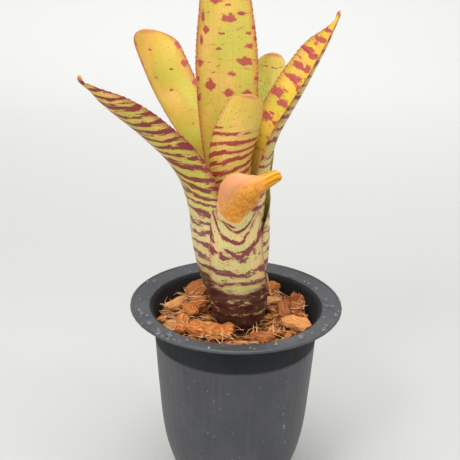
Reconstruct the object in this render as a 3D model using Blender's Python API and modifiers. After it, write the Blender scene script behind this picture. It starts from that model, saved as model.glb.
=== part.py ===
"""Potted bromeliad: seven leaves sheathed into a tube, on a short stem, in a round plastic pot.

Blender 4.5, metres, +Z up. Z = 0 is the surface the pot stands on, and the pot's axis is X = Y = 0.
Run with: blender --background --python part.py
"""

import math
import random

import bmesh
import bpy
import numpy as np
from mathutils import Matrix, Vector
from mathutils.bvhtree import BVHTree

MM = 0.001
GAP = 0.3  # between pieces that touch, mm

# Pot, mm
RIM_RADIUS = 52.5
RIM_HEIGHT = 108.0
MOUTH_RADIUS = 42.6
WALL = 1.5
FLOOR = 2.0
FOOT_RADIUS = 21.0
POT_STEPS = 56
HOLE_RADIUS = 3.5
HOLE_RING = 13.0
HOLES = 6
GROOVE_DEPTH = 0.9

# (height, outside radius) of the body below the lip
BODY = [(3.0, 23.4), (14.0, 29.6), (22.0, 32.5), (30.0, 34.9), (38.0, 36.4), (63.0, 38.7), (94.0, 40.7)]

# Growing medium, mm
MEDIUM_EDGE = 92.5
MEDIUM_CROWN = 94.5

# Plant, mm. The collar is where the oldest leaf leaves the stem.
COLLAR = 97.0
COLLAR_OFFSET = 2.2
LEAF_THICKNESS = 0.7
LAYER_STEP = 1.4  # from one leaf sheath to the next one in
ACROSS, ALONG = 12, 24  # cells of a leaf's loft
OPENING = (6.0, 20.0)  # a leaf's sections start to tip this far below its sheath's end, over this height

# (height, radius) of the tube that the sheaths make together
TUBE = [(97, 11.6), (100, 12.8), (104, 14.2), (108, 15.5), (114, 16.8), (120, 17.9), (126, 19.0),
        (132, 20.0), (139, 20.8), (146, 21.2), (160, 21.2)]

# Stem: (distance above the collar, radius), for a stem that tapers inside the sheaths
STEM = [(-15.0, 4.0), (-9.0, 6.5), (-3.0, 9.4), (-0.6, 9.8), (0.5, 9.3), (3.2, 6.1), (6.0, 3.0), (6.8, 2.0)]

# A leaf: how many layers in from the outside, the bearing it grows towards in degrees, its
# sheath as (height, half of its wrap round the tube in degrees), and its blade as
# (distance out, height, distance sideways, half width, half of its channel's arc in degrees).
LEAVES = {
    "leaf_outer_front_dry": dict(
        layer=0, bearing=277, shoulder=(152, 9, 4),
        sheath=[(97, 88), (108, 64), (125, 46), (138, 38), (150, 34)],
        blade=[(22, 156, 0.2, 9.4, 32), (24, 162, -0.8, 8.8, 42), (26.3, 167.5, 0.6, 11, 55),
               (28, 172, 2.7, 10.8, 60), (29.2, 175, 7, 7, 70), (29.5, 177, 11.5, 4.8, 75),
               (29.3, 178.8, 15.5, 3.8, 75), (29, 179.8, 18.6, 1.8, 60)]),
    "leaf_left_arching": dict(
        layer=1, bearing=210, turn=-14,
        sheath=[(98, 96), (112, 100), (126, 98), (140, 90), (153, 82)],
        blade=[(21.5, 163, 0, 18.4, 74), (24.5, 172.5, 0, 17, 74), (31.5, 184, 0, 16, 74),
               (42, 194.5, 0, 15, 72), (53, 204.5, 0, 13, 70), (61.5, 212.5, 0, 8.5, 66),
               (67.5, 218.8, 0, 2.6, 55), (70.3, 221, 0, 1.5, 50)]),
    "leaf_back_right": dict(
        layer=2, bearing=54,
        sheath=[(99, 98), (112, 106), (126, 106), (140, 98), (150, 86)],
        blade=[(20, 162, 0, 13.5, 42), (23, 176, 0, 11.5, 33), (27, 192, 0, 10.6, 31),
               (30.8, 206, 0, 10.8, 31), (33.5, 218, 0, 10, 32), (35, 225.5, 0, 5, 30)]),
    "leaf_back_left": dict(
        layer=3, bearing=132.5,
        sheath=[(100, 96), (112, 100), (126, 98), (140, 90), (155, 82)],
        blade=[(17.5, 168, 0, 16, 66), (24, 182, 0, 15, 58), (35.5, 194, 0, 16, 54),
               (46, 205.5, 0, 16, 50), (55, 218, 0, 15.2, 46), (62, 229, 0, 11.5, 42), (64.5, 233, 0, 4.5, 36)]),
    "leaf_right_arching": dict(
        layer=4, bearing=12, turn=-12,
        sheath=[(101, 96), (112, 100), (126, 98), (140, 90), (152, 78)],
        blade=[(16.2, 160, 0, 16, 70), (17.8, 172, 0, 16.5, 70), (21, 189, 0, 15.8, 66), (28.8, 206, 0, 15, 60),
               (36.5, 220, 0, 13.4, 56), (42.5, 232, 0, 9.2, 54), (46.8, 240.5, 0, 2.6, 50),
               (48.3, 243.3, 0, 1.5, 50)]),
    "leaf_back_tall": dict(
        layer=5, bearing=97,
        sheath=[(102, 96), (112, 100), (126, 98), (140, 90), (155, 82)],
        blade=[(13.5, 172, 0, 14, 66), (14.5, 188, 0, 15, 56), (16.5, 210, 0.5, 16.2, 48),
               (18.5, 230, 1, 15.6, 44), (20.8, 246, 1.2, 13.6, 42), (22.8, 258, 1.2, 9, 38),
               (23.8, 263, 1, 3.5, 30)]),
    "leaf_inner_front": dict(
        layer=6, bearing=274,
        sheath=[(103, 96), (112, 100), (126, 98), (140, 90), (155, 84)],
        blade=[(12, 170, 0, 13, 72), (12.8, 187, 0.4, 12.6, 64), (13.6, 196, 2.6, 12, 58),
               (14.6, 205, 5, 10, 52), (15.4, 211, 6.6, 6.8, 48), (15.8, 213.6, 7, 2.6, 45)]),
}

# Husk chips that show, mm and degrees: x, y, length, width, thickness, heading, nose up, roll
CHIPS = [
    (-26, 7, 22, 10, 5.0, 22, 10, 10), (-20, 27, 14, 11, 4.0, 40, 25, 0), (-28, -9, 17, 8, 4.0, -10, 5, 10),
    (-12, -20, 21, 11, 5.0, -20, 4, -8), (10, -16, 23, 12, 5.0, 15, 6, 12), (22, 2, 18, 11, 5.0, 70, 15, 20),
    (31, 9, 13, 7, 4.0, 80, 35, 30), (35, -9, 14, 7, 3.5, 50, 10, 0), (17, -28, 11, 8, 4.0, 5, 0, 5),
    (1, -30, 13, 8, 4.0, -5, 0, -10), (-27, -22, 15, 8, 4.0, -45, 0, 5), (26, -20, 12, 7, 3.5, 35, 8, 0),
]
LOOSE_CHIPS = 24
LOOSE_RING = (17.0, 33.0)
DROP_FROM = 110.0
HIGHEST_REST = 103.0  # the middle of a piece is never left higher than this, mm
TRIES = 10
TRY_TURN = math.radians(23.0)
TRY_PULL = 0.98
STRAND = [(3.2, -5.0, 0.0), (0.9, -0.5, 9.0), (-3.2, 5.0, 20.0)]  # from its foot up
STRAND_FOOT = (24.0, 17.0)
STRAND_RADIUS = 0.7
SEED = 7


def clear_scene():
    for obj in list(bpy.data.objects):
        bpy.data.objects.remove(obj, do_unlink=True)


def collection(name, shown=True):
    made = bpy.data.collections.new(name)
    made.hide_render = not shown
    bpy.context.scene.collection.children.link(made)
    return made


def material(name, colour, roughness):
    made = bpy.data.materials.new(name)
    made.use_nodes = True
    shader = made.node_tree.nodes["Principled BSDF"]
    shader.inputs["Base Color"].default_value = (*colour, 1.0)
    shader.inputs["Roughness"].default_value = roughness
    return made


def object_from(name, mesh_or_curve, group, finish=None):
    made = bpy.data.objects.new(name, mesh_or_curve)
    group.objects.link(made)
    if finish:
        made.data.materials.append(finish)
    return made


def cutter(name, mesh, group):
    made = object_from(name, mesh, group)
    made.hide_render = True
    made.display_type = "WIRE"
    return made


def cut(target, tool):
    modifier = target.modifiers.new(tool.name, "BOOLEAN")
    modifier.operation = "DIFFERENCE"
    modifier.solver = "EXACT"
    modifier.object = tool


def mesh_from(name, build):
    """A new mesh filled by build(bm)."""
    bm = bmesh.new()
    build(bm)
    mesh = bpy.data.meshes.new(name)
    bm.to_mesh(mesh)
    bm.free()
    return mesh


def smooth_through(stations, count, spaced_by=None):
    """count + 1 rows on a smooth curve through the stations, spaced by the length of its first columns."""
    rows = np.array(stations, float)
    steps = np.diff(rows[:, :spaced_by], axis=0)
    knots = np.concatenate([[0.0], np.cumsum(np.linalg.norm(steps, axis=1))])
    knots /= knots[-1]
    slopes = np.gradient(rows, knots, axis=0)
    at = np.linspace(0.0, 1.0, count + 1)
    left = np.clip(np.searchsorted(knots, at, side="right") - 1, 0, len(knots) - 2)
    span = (knots[left + 1] - knots[left])[:, None]
    f = ((at - knots[left]) / span[:, 0])[:, None]
    start = (1 + 2 * f) * (1 - f) ** 2 * rows[left] + f * (1 - f) ** 2 * span * slopes[left]
    end = f * f * (3 - 2 * f) * rows[left + 1] + f * f * (f - 1) * span * slopes[left + 1]
    return start + end


def arc(centre, radius, first, last, count):
    """Points on a circle from one angle to another, in degrees, counted anticlockwise from +X."""
    angles = [math.radians(first + (last - first) * i / count) for i in range(count + 1)]
    return [(centre[0] + radius * math.cos(a), centre[1] + radius * math.sin(a)) for a in angles]


def turned(name, profile, steps, group, finish=None):
    """A solid of revolution from (radius, height) points in mm that run from the top of the axis to its foot."""

    def outline(bm):
        points = [bm.verts.new((r * MM, 0.0, z * MM)) for r, z in profile]
        for a, b in zip(points, points[1:]):
            bm.edges.new((a, b))

    made = object_from(name, mesh_from(name, outline), group, finish)
    screw = made.modifiers.new("turn", "SCREW")
    screw.steps = steps
    screw.render_steps = steps
    screw.use_merge_vertices = True
    screw.merge_threshold = 0.00001
    return made


def body_radius(z):
    heights, radii = zip(*BODY)
    return float(np.interp(z, heights, radii))


def pot_profile():
    """From the middle of the floor's top, up the inside, over the lip and down the outside."""
    body = smooth_through(BODY, 16)
    inside = [(r - WALL, z) for z, r in body if z > FLOOR + 3.0]
    lip = arc((MOUTH_RADIUS + 1.6, 103.6), 3.0, 180, 100, 4)
    bead = arc((RIM_RADIUS - 0.9, RIM_HEIGHT - 0.9), 0.9, 150, -90, 6)
    under_lip = arc((MOUTH_RADIUS + 1.9, 101.9), 3.2, 95, 170, 4)
    outside = [(r, z) for z, r in reversed(body)]
    floor_inside = [(0.0, FLOOR), (FOOT_RADIUS - 1.0, FLOOR)]
    foot = [(FOOT_RADIUS + 0.6, 0.8), (FOOT_RADIUS, 0.0), (0.0, 0.0)]
    return floor_inside + inside + lip + bead + under_lip + outside + foot


def make_pot(parts, cutters):
    plastic = material("pot_plastic", (0.075, 0.080, 0.088), 0.62)
    pot = turned("pot", pot_profile(), POT_STEPS, parts, plastic)
    for i in range(HOLES):
        angle = 2 * math.pi * i / HOLES
        place = Matrix.Translation((HOLE_RING * MM * math.cos(angle), HOLE_RING * MM * math.sin(angle), 0))

        def hole(bm, place=place):
            bmesh.ops.create_cone(bm, cap_ends=True, segments=16, radius1=HOLE_RADIUS * MM,
                                  radius2=HOLE_RADIUS * MM, depth=4 * FLOOR * MM, matrix=place)

        cut(pot, cutter(f"drain_hole_{i + 1}", mesh_from("drain_hole", hole), cutters))

        def groove(bm, angle=angle):
            middle = (HOLE_RING + FOOT_RADIUS + 6.0) / 2 * MM
            length = (FOOT_RADIUS + 6.0 - HOLE_RING) * MM
            size = Matrix.Diagonal((length, 3.0 * MM, 2 * GROOVE_DEPTH * MM, 1.0))
            turn = Matrix.Rotation(angle, 4, "Z")
            bmesh.ops.create_cube(bm, size=1.0, matrix=turn @ Matrix.Translation((middle, 0, 0)) @ size)

        cut(pot, cutter(f"drain_groove_{i + 1}", mesh_from("drain_groove", groove), cutters))
    return pot


def stem_profile(extra=0.0):
    (low, low_radius), (high, high_radius) = STEM[0], STEM[-1]
    rows = [(r + extra, h) for h, r in reversed(STEM)]
    return [(0.0, high + extra)] + rows + [(0.0, low - extra)]


def lean_at(z):
    """How far the plant's middle is from the pot's axis along X, mm: it leans to -X as it rises."""
    h = np.clip(z - COLLAR, -10.0, 100.0)
    return COLLAR_OFFSET - 0.140 * h + 0.00075 * h * h


def make_stem(parts):
    stem = turned("stem", stem_profile(), 24, parts, material("stem_base", (0.24, 0.17, 0.10), 0.7))
    stem.location = (COLLAR_OFFSET * MM, 0.0, COLLAR * MM)
    return stem


def make_medium(parts, cutters):
    soil = material("growing_medium", (0.16, 0.07, 0.03), 0.9)
    side = [(r - WALL - GAP, z) for z, r in smooth_through(BODY, 16) if FLOOR + 3.0 < z < MEDIUM_EDGE]
    edge = body_radius(MEDIUM_EDGE) - WALL - GAP
    crown = [(0.0, MEDIUM_CROWN), (16.0, MEDIUM_CROWN), (30.0, (MEDIUM_CROWN + MEDIUM_EDGE) / 2 + 0.3)]
    foot = [(FOOT_RADIUS - 1.5, FLOOR + GAP), (0.0, FLOOR + GAP)]
    profile = crown + [(edge, MEDIUM_EDGE)] + side[::-1] + foot
    medium = turned("growing_medium", profile, 40, parts, soil)
    socket = turned("stem_socket", stem_profile(GAP), 24, cutters)
    socket.hide_render = True
    socket.display_type = "WIRE"
    socket.location = (COLLAR_OFFSET * MM, 0.0, COLLAR * MM)
    cut(medium, socket)
    return medium


def tube_radius(z):
    heights, radii = zip(*TUBE)
    return float(np.interp(z, heights, radii))


def sheath_stations(layer, sheath):
    """Rows for smooth_through up the sheath, at heights that every leaf shares."""
    heights, wraps = zip(*sheath)
    shared = [z for z, _ in TUBE if heights[0] + 1.5 < z < heights[-1] - 2.0]
    for z in [heights[0], *shared, heights[-1]]:
        half_arc = float(np.interp(z, heights, wraps))
        out = tube_radius(z) - LEAF_THICKNESS / 2 - layer * LAYER_STEP
        yield out, z, 0.0, out * math.radians(half_arc), half_arc


def unit(rows):
    return rows / np.linalg.norm(rows, axis=1)[:, None]


def ease(value):
    """0 to 1 with a level start and end."""
    value = np.clip(value, 0.0, 1.0)
    return value * value * (3 - 2 * value)


def leaf_points(layer, bearing, sheath, blade, turn=0.0, shoulder=None):
    """The leaf's middle surface as an array of points in mm, [along, across, xyz]."""
    rows = smooth_through([*sheath_stations(layer, sheath), *blade], ALONG, spaced_by=3)
    slope = np.gradient(rows, axis=0)
    out, z, side, half_width, half_arc = rows.T
    bearing = math.radians(bearing)
    outward = np.array([math.cos(bearing), math.sin(bearing), 0.0])
    sideways = np.array([-math.sin(bearing), math.cos(bearing), 0.0])
    upward = np.array([0.0, 0.0, 1.0])
    spine = np.outer(out, outward) + np.outer(side, sideways) + np.outer(z, upward)
    spine[:, 0] += lean_at(z)

    # Sections are level in the sheath and square to the spine in the blade.
    below, over = OPENING
    tip = ease((z - sheath[-1][0] + below) / over)[:, None]
    along = np.outer(slope[:, 0], outward) + np.outer(slope[:, 2], sideways) + np.outer(slope[:, 1], upward)
    along = unit(unit(along) * tip + upward * (1 - tip))
    across = unit(np.cross(-outward, along))
    inward = np.cross(along, across)
    rise = (z - sheath[-1][0]) / (blade[-1][1] - sheath[-1][0])
    roll = (math.radians(turn) * ease(rise))[:, None]
    inward, across = (inward * np.cos(roll) + across * np.sin(roll),
                      across * np.cos(roll) - inward * np.sin(roll))

    u = np.linspace(-1.0, 1.0, ACROSS + 1)
    angle = np.radians(half_arc)[:, None] * u
    radius = (half_width / np.radians(half_arc))[:, None]
    points = (spine[:, None] + inward[:, None] * (radius * (1 - np.cos(angle)))[..., None]
              + across[:, None] * (radius * np.sin(angle))[..., None])
    if shoulder:
        height, lift, spread = shoulder
        points[..., 2] += (lift * np.exp(-(((z - height) / spread) ** 2)))[:, None] * u**2
    return points


def make_leaf(name, shape, parts, finish):
    grid = leaf_points(**shape)

    def loft(bm):
        rows = [[bm.verts.new(Vector(p) * MM) for p in row] for row in grid]
        for low, high in zip(rows, rows[1:]):
            for i in range(ACROSS):
                bm.faces.new((low[i], low[i + 1], high[i + 1], high[i]))
        bmesh.ops.recalc_face_normals(bm, faces=bm.faces)

    leaf = object_from(name, mesh_from(name, loft), parts, finish)
    solid = leaf.modifiers.new("thickness", "SOLIDIFY")
    solid.thickness = LEAF_THICKNESS * MM
    solid.offset = 0.0
    return leaf


def chip_mesh(name, length, width, thickness, jitter):
    """A husk chip: a box with its corners pulled about."""

    def box(bm):
        bmesh.ops.create_cube(bm, size=1.0)
        for vert in bm.verts:
            pull = [1.0 + jitter.uniform(-0.22, 0.12) for _ in range(3)]
            size = Vector((length, width, thickness)) * MM
            vert.co = Vector(c * p * s for c, p, s in zip(vert.co, pull, size))
        bmesh.ops.triangulate(bm, faces=bm.faces)

    return mesh_from(name, box)


def world_tree(obj):
    """The object's evaluated surface in world space, for finding contacts."""
    bpy.context.view_layer.update()
    graph = bpy.context.evaluated_depsgraph_get()
    evaluated = obj.evaluated_get(graph)
    mesh = evaluated.to_mesh()
    points = [obj.matrix_world @ v.co for v in mesh.vertices]
    faces = [tuple(p.vertices) for p in mesh.polygons]
    evaluated.to_mesh_clear()
    return BVHTree.FromPolygons(points, faces)


def rest_height(piece, x, y, obstacles):
    """How high the piece is when it first touches something on its way down, in metres."""
    step = GAP * MM
    piece.location = (x * MM, y * MM, DROP_FROM * MM)
    while piece.location.z > MEDIUM_EDGE * MM:
        tree = world_tree(piece)
        if any(tree.overlap(other) for other in obstacles):
            return piece.location.z + 2 * step
        piece.location.z -= step
    return piece.location.z


def settle(piece, x, y, obstacles):
    """Rests the piece near (x, y), going round the pot until it fits. False if it fits nowhere."""
    for _ in range(TRIES):
        height = rest_height(piece, x, y, obstacles)
        if height < HIGHEST_REST * MM:
            piece.location.z = height
            obstacles.append(world_tree(piece))
            return True
        x, y = Matrix.Rotation(TRY_TURN, 2) @ Vector((x, y)) * TRY_PULL
    return False


def make_chips(parts, obstacles):
    husk = material("husk_chip", (0.50, 0.20, 0.06), 0.85)
    jitter = random.Random(SEED)
    shown = [dict(x=x, y=y, size=(length, width, thick), turn=(roll, -nose, heading))
             for x, y, length, width, thick, heading, nose, roll in CHIPS]
    loose = []
    for i in range(LOOSE_CHIPS):
        bearing = 2 * math.pi * (i + jitter.uniform(0.0, 0.6)) / LOOSE_CHIPS
        away = jitter.uniform(*LOOSE_RING)
        size = (jitter.uniform(9, 15), jitter.uniform(5, 9), jitter.uniform(2.5, 4.5))
        turn = (jitter.uniform(-10, 10), jitter.uniform(-10, 10), jitter.uniform(0, 180))
        loose.append(dict(x=COLLAR_OFFSET + away * math.cos(bearing), y=away * math.sin(bearing),
                          size=size, turn=turn))
    number = 1
    for row in shown + loose:
        name = f"husk_chip_{number:02d}"
        chip = object_from(name, chip_mesh(name, *row["size"], jitter), parts, husk)
        chip.rotation_euler = [math.radians(a) for a in row["turn"]]
        if settle(chip, row["x"], row["y"], obstacles):
            number += 1
        else:
            bpy.data.objects.remove(chip)


def make_strand(parts, obstacles):
    """One long husk fibre that stands up between the chips."""
    curve = bpy.data.curves.new("husk_strand", "CURVE")
    curve.dimensions = "3D"
    curve.bevel_depth = STRAND_RADIUS * MM
    curve.bevel_resolution = 1
    curve.use_fill_caps = True
    spline = curve.splines.new("POLY")
    spline.points.add(len(STRAND) - 1)
    for point, place in zip(spline.points, STRAND):
        point.co = (*(Vector(place) * MM), 1.0)
    strand = object_from("husk_strand", curve, parts, material("husk_strand", (0.62, 0.34, 0.13), 0.8))
    settle(strand, *STRAND_FOOT, obstacles)


def main():
    clear_scene()
    parts = collection("potted_bromeliad")
    cutters = collection("cutters", shown=False)
    pot = make_pot(parts, cutters)
    medium = make_medium(parts, cutters)
    stem = make_stem(parts)
    green = material("leaf_green", (0.52, 0.50, 0.14), 0.45)
    dry = material("leaf_dry", (0.80, 0.36, 0.08), 0.55)
    leaves = [make_leaf(name, shape, parts, dry if name.endswith("dry") else green)
              for name, shape in LEAVES.items()]
    obstacles = [world_tree(obj) for obj in (pot, medium, stem, *leaves)]
    make_chips(parts, obstacles)
    make_strand(parts, obstacles)


main()
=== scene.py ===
"""Looks of the potted bromeliad: banded leaves, husk, a matt pot with water drops, a studio and a camera."""

import math
import random
from types import SimpleNamespace

import bmesh
import bpy
import numpy as np
from mathutils import Matrix, Vector, noise


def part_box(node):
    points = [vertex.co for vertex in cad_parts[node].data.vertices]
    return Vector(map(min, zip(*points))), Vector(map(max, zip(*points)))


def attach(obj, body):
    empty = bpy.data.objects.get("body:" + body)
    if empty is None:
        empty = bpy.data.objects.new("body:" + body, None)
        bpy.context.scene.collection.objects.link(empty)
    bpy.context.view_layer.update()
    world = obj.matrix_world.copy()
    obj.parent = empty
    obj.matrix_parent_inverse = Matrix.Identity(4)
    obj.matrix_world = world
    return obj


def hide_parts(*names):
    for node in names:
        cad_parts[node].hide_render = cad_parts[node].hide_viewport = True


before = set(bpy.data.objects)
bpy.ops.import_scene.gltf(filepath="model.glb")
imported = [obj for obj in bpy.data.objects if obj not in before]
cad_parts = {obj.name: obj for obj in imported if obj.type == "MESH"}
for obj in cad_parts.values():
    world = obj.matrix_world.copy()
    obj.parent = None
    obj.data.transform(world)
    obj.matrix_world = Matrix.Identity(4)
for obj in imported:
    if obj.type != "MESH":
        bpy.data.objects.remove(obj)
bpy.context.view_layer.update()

MM = 0.001
SEED = 11

# ---------------------------------------------------------------- leaf shapes, mm

# As part.py has them
COLLAR = 97.0
COLLAR_OFFSET = 2.2
LEAF_THICKNESS = 0.7
LAYER_STEP = 1.4
OPENING = (6.0, 20.0)  # a leaf's sections start to tip this far below its sheath's end, over this height

# Detail that part.py leaves out
ACROSS, ALONG = 52, 190
MARGIN_THICKNESS = 0.3
TEETH_STEP = 2.6
TEETH_HEIGHT = 0.35
RIPPLE_HEIGHT = 0.55
RIPPLE_SCALE = 0.06

# (height, radius) of the tube that the sheaths make together
TUBE = [(97, 11.6), (100, 12.8), (104, 14.2), (108, 15.5), (114, 16.8), (120, 17.9), (126, 19.0),
        (132, 20.0), (139, 20.8), (146, 21.2), (160, 21.2)]

# As in part.py, with rounder ends and curled tips in place of its plain ones. closing is the share of
# the leaf's length over which its tip rounds off.
LEAVES = {
    "leaf_outer_front_dry": dict(
        layer=0, bearing=277, shoulder=(152, 9, 4), closing=0.04,
        sheath=[(97, 88), (108, 64), (125, 46), (138, 38), (150, 34)],
        blade=[(22, 156, 0.2, 9.4, 32), (24, 162, -0.8, 8.8, 42), (26.3, 167.5, 0.6, 11, 55),
               (28, 172, 2.7, 11.4, 60), (29.2, 175, 7, 7.4, 70), (29.5, 177, 11.2, 4.8, 75),
               (29.3, 178.8, 14.5, 4.4, 85), (28.8, 179.8, 17, 4.4, 95), (28, 180, 19.4, 3.6, 95)]),
    "leaf_left_arching": dict(
        layer=1, bearing=210, turn=-14, closing=0.012,
        sheath=[(98, 96), (112, 100), (126, 98), (140, 90), (153, 82)],
        blade=[(21.5, 163, 0, 18.4, 74), (24.5, 172.5, 0, 17, 74), (31.5, 184, 0, 16, 74),
               (42, 194.5, 0, 15, 72), (53, 204.5, 0, 13, 70), (61.5, 212.5, 0, 8.5, 66),
               (67.5, 218.8, 0, 2.6, 55), (70.3, 221, 0, 1.4, 50),
               (71.8, 222.6, 0.5, 1.8, 70), (71.6, 224.6, 1.4, 1.3, 70)]),
    "leaf_back_right": dict(
        layer=2, bearing=54, closing=0.07,
        sheath=[(99, 98), (112, 106), (126, 106), (140, 98), (150, 86)],
        blade=[(20, 162, 0, 13.5, 42), (23, 176, 0, 11.5, 33), (27, 192, 0, 10.6, 31),
               (30.8, 206, 0, 10.8, 31), (33.5, 218, 0, 10, 32), (35, 226, 0, 9, 30)]),
    "leaf_back_left": dict(
        layer=3, bearing=132.5, closing=0.085,
        sheath=[(100, 96), (112, 100), (126, 98), (140, 90), (155, 82)],
        blade=[(17.5, 168, 0, 16, 66), (24, 182, 0, 15, 58), (35.5, 194, 0, 16, 54),
               (46, 205.5, 0, 16, 50), (55, 218, 0, 15.6, 46), (61, 227, 0, 14.6, 42),
               (64.8, 233.6, 0, 12.5, 36)]),
    "leaf_right_arching": dict(
        layer=4, bearing=12, turn=-12, closing=0.012,
        sheath=[(101, 96), (112, 100), (126, 98), (140, 90), (152, 78)],
        blade=[(16.2, 160, 0, 16, 70), (17.8, 172, 0, 16.5, 70), (21, 189, 0, 15.8, 66),
               (28.8, 206, 0, 15, 60), (36.5, 220, 0, 13.4, 56), (42.5, 232, 0, 9.2, 54),
               (46.8, 240.5, 0, 2.6, 50), (48.3, 243.3, 0, 1.4, 50), (49.3, 245.4, 0.4, 1.6, 60),
               (49, 247.8, -0.6, 0.9, 60)]),
    "leaf_back_tall": dict(
        layer=5, bearing=97, closing=0.06,
        sheath=[(102, 96), (112, 100), (126, 98), (140, 90), (155, 82)],
        blade=[(13.5, 172, 0, 14, 66), (14.5, 188, 0, 15, 56), (16.5, 210, 0.5, 16.2, 48),
               (18.5, 230, 1, 15.6, 44), (20.8, 246, 1.2, 13.6, 42), (22.8, 258, 1.2, 11.5, 38),
               (23.8, 263.6, 1, 9, 30)]),
    "leaf_inner_front": dict(
        layer=6, bearing=274, closing=0.045,
        sheath=[(103, 96), (112, 100), (126, 98), (140, 90), (155, 84)],
        blade=[(12, 170, 0, 13, 72), (12.8, 187, 0.4, 12.6, 64), (13.6, 196, 2.6, 12, 58),
               (14.6, 205, 5, 10, 52), (15.4, 211, 6.6, 8, 48), (15.8, 214, 7, 6, 45)]),
}


def smooth_through(stations, count, spaced_by):
    """count + 1 rows on a smooth curve through the stations, spaced by the length of its first columns."""
    rows = np.array(stations, float)
    steps = np.diff(rows[:, :spaced_by], axis=0)
    knots = np.concatenate([[0.0], np.cumsum(np.linalg.norm(steps, axis=1))])
    knots /= knots[-1]
    slopes = np.gradient(rows, knots, axis=0)
    at = np.linspace(0.0, 1.0, count + 1)
    left = np.clip(np.searchsorted(knots, at, side="right") - 1, 0, len(knots) - 2)
    span = (knots[left + 1] - knots[left])[:, None]
    f = ((at - knots[left]) / span[:, 0])[:, None]
    start = (1 + 2 * f) * (1 - f) ** 2 * rows[left] + f * (1 - f) ** 2 * span * slopes[left]
    end = f * f * (3 - 2 * f) * rows[left + 1] + f * f * (f - 1) * span * slopes[left + 1]
    return start + end


def lean_at(z):
    """How far the plant's middle is from the pot's axis along X, mm."""
    h = np.clip(z - COLLAR, -10.0, 100.0)
    return COLLAR_OFFSET - 0.140 * h + 0.00075 * h * h


def unit(rows):
    return rows / np.linalg.norm(rows, axis=-1)[..., None]


def ease(value):
    """0 to 1 with a level start and end."""
    value = np.clip(value, 0.0, 1.0)
    return value * value * (3 - 2 * value)


def sheath_stations(layer, sheath):
    """Rows for smooth_through up the sheath, at heights that every leaf shares."""
    heights, wraps = zip(*sheath)
    tube_heights, tube_radii = zip(*TUBE)
    shared = [z for z in tube_heights if heights[0] + 1.5 < z < heights[-1] - 2.0]
    for z in [heights[0], *shared, heights[-1]]:
        half_arc = float(np.interp(z, heights, wraps))
        out = float(np.interp(z, tube_heights, tube_radii)) - LEAF_THICKNESS / 2 - layer * LAYER_STEP
        yield out, z, 0.0, out * math.radians(half_arc), half_arc


def leaf_grid(layer, bearing, sheath, blade, closing, turn=0.0, shoulder=None):
    """The leaf's middle surface [along, across, xyz] in mm, with each point's u, width and length along."""
    rows = smooth_through([*sheath_stations(layer, sheath), *blade], ALONG, 3)
    slope = np.gradient(rows, axis=0)
    out, z, side, half_width, half_arc = rows.T
    bearing = math.radians(bearing)
    outward = np.array([math.cos(bearing), math.sin(bearing), 0.0])
    sideways = np.array([-math.sin(bearing), math.cos(bearing), 0.0])
    upward = np.array([0.0, 0.0, 1.0])
    spine = np.outer(out, outward) + np.outer(side, sideways) + np.outer(z, upward)
    spine[:, 0] += lean_at(z)

    # Sections are level in the sheath and square to the spine in the blade.
    below, over = OPENING
    tip = ease((z - sheath[-1][0] + below) / over)[:, None]
    along = np.outer(slope[:, 0], outward) + np.outer(slope[:, 2], sideways) + np.outer(slope[:, 1], upward)
    along = unit(unit(along) * tip + upward * (1 - tip))
    across = unit(np.cross(-outward, along))
    inward = np.cross(along, across)
    rise = (z - sheath[-1][0]) / (blade[-1][1] - sheath[-1][0])
    roll = (math.radians(turn) * ease(rise))[:, None]
    inward, across = (inward * np.cos(roll) + across * np.sin(roll),
                      across * np.cos(roll) - inward * np.sin(roll))

    # The tip rounds off, and the margins carry teeth up to where it starts to.
    length = np.concatenate([[0.0], np.cumsum(np.linalg.norm(np.diff(spine, axis=0), axis=1))])
    left = np.clip((1.0 - np.linspace(0, 1, ALONG + 1)) / closing, 0.0, 1.0)
    width = half_width * np.sqrt(1.0 - (1.0 - left) ** 2.2 * 0.985)
    tooth = np.abs(2 * ((length / TEETH_STEP) % 1.0) - 1.0) ** 3
    teeth = TEETH_HEIGHT * tooth * ease(rise * 4) * (left >= 1.0)
    u = np.linspace(-1.0, 1.0, ACROSS + 1)
    angle = (np.radians(half_arc) * width / half_width)[:, None] * u
    radius = (half_width / np.radians(half_arc))[:, None]
    angle = angle + np.sign(u) * (np.abs(u) > 0.999) * teeth[:, None] / radius
    points = (spine[:, None] + inward[:, None] * (radius * (1 - np.cos(angle)))[..., None]
              + across[:, None] * (radius * np.sin(angle))[..., None])
    if shoulder:
        height, lift, spread = shoulder
        points[..., 2] += (lift * np.exp(-(((z - height) / spread) ** 2)))[:, None] * u**2
    return points, u, width, length


def sheet_normals(points):
    """Unit normals of a grid of points."""
    run, cross = np.gradient(points, axis=0), np.gradient(points, axis=1)
    return unit(np.cross(run, cross) + 1e-9)


def ripple(points, seed):
    """The points moved a little along their normals by smooth noise."""
    offset = Vector((seed * 7.3, seed * 3.1, seed * 5.7))
    flat = points.reshape(-1, 3)
    pushes = [noise.noise(Vector(p) * RIPPLE_SCALE + offset) * RIPPLE_HEIGHT for p in flat]
    return points + sheet_normals(points) * np.array(pushes).reshape(points.shape[:2])[..., None]


def shell(points, thickness):
    """Both faces of a sheet: (inner points, outer points). Inner faces the plant's middle."""
    normals = sheet_normals(points)
    return points + normals * thickness[..., None] / 2, points - normals * thickness[..., None] / 2


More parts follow.
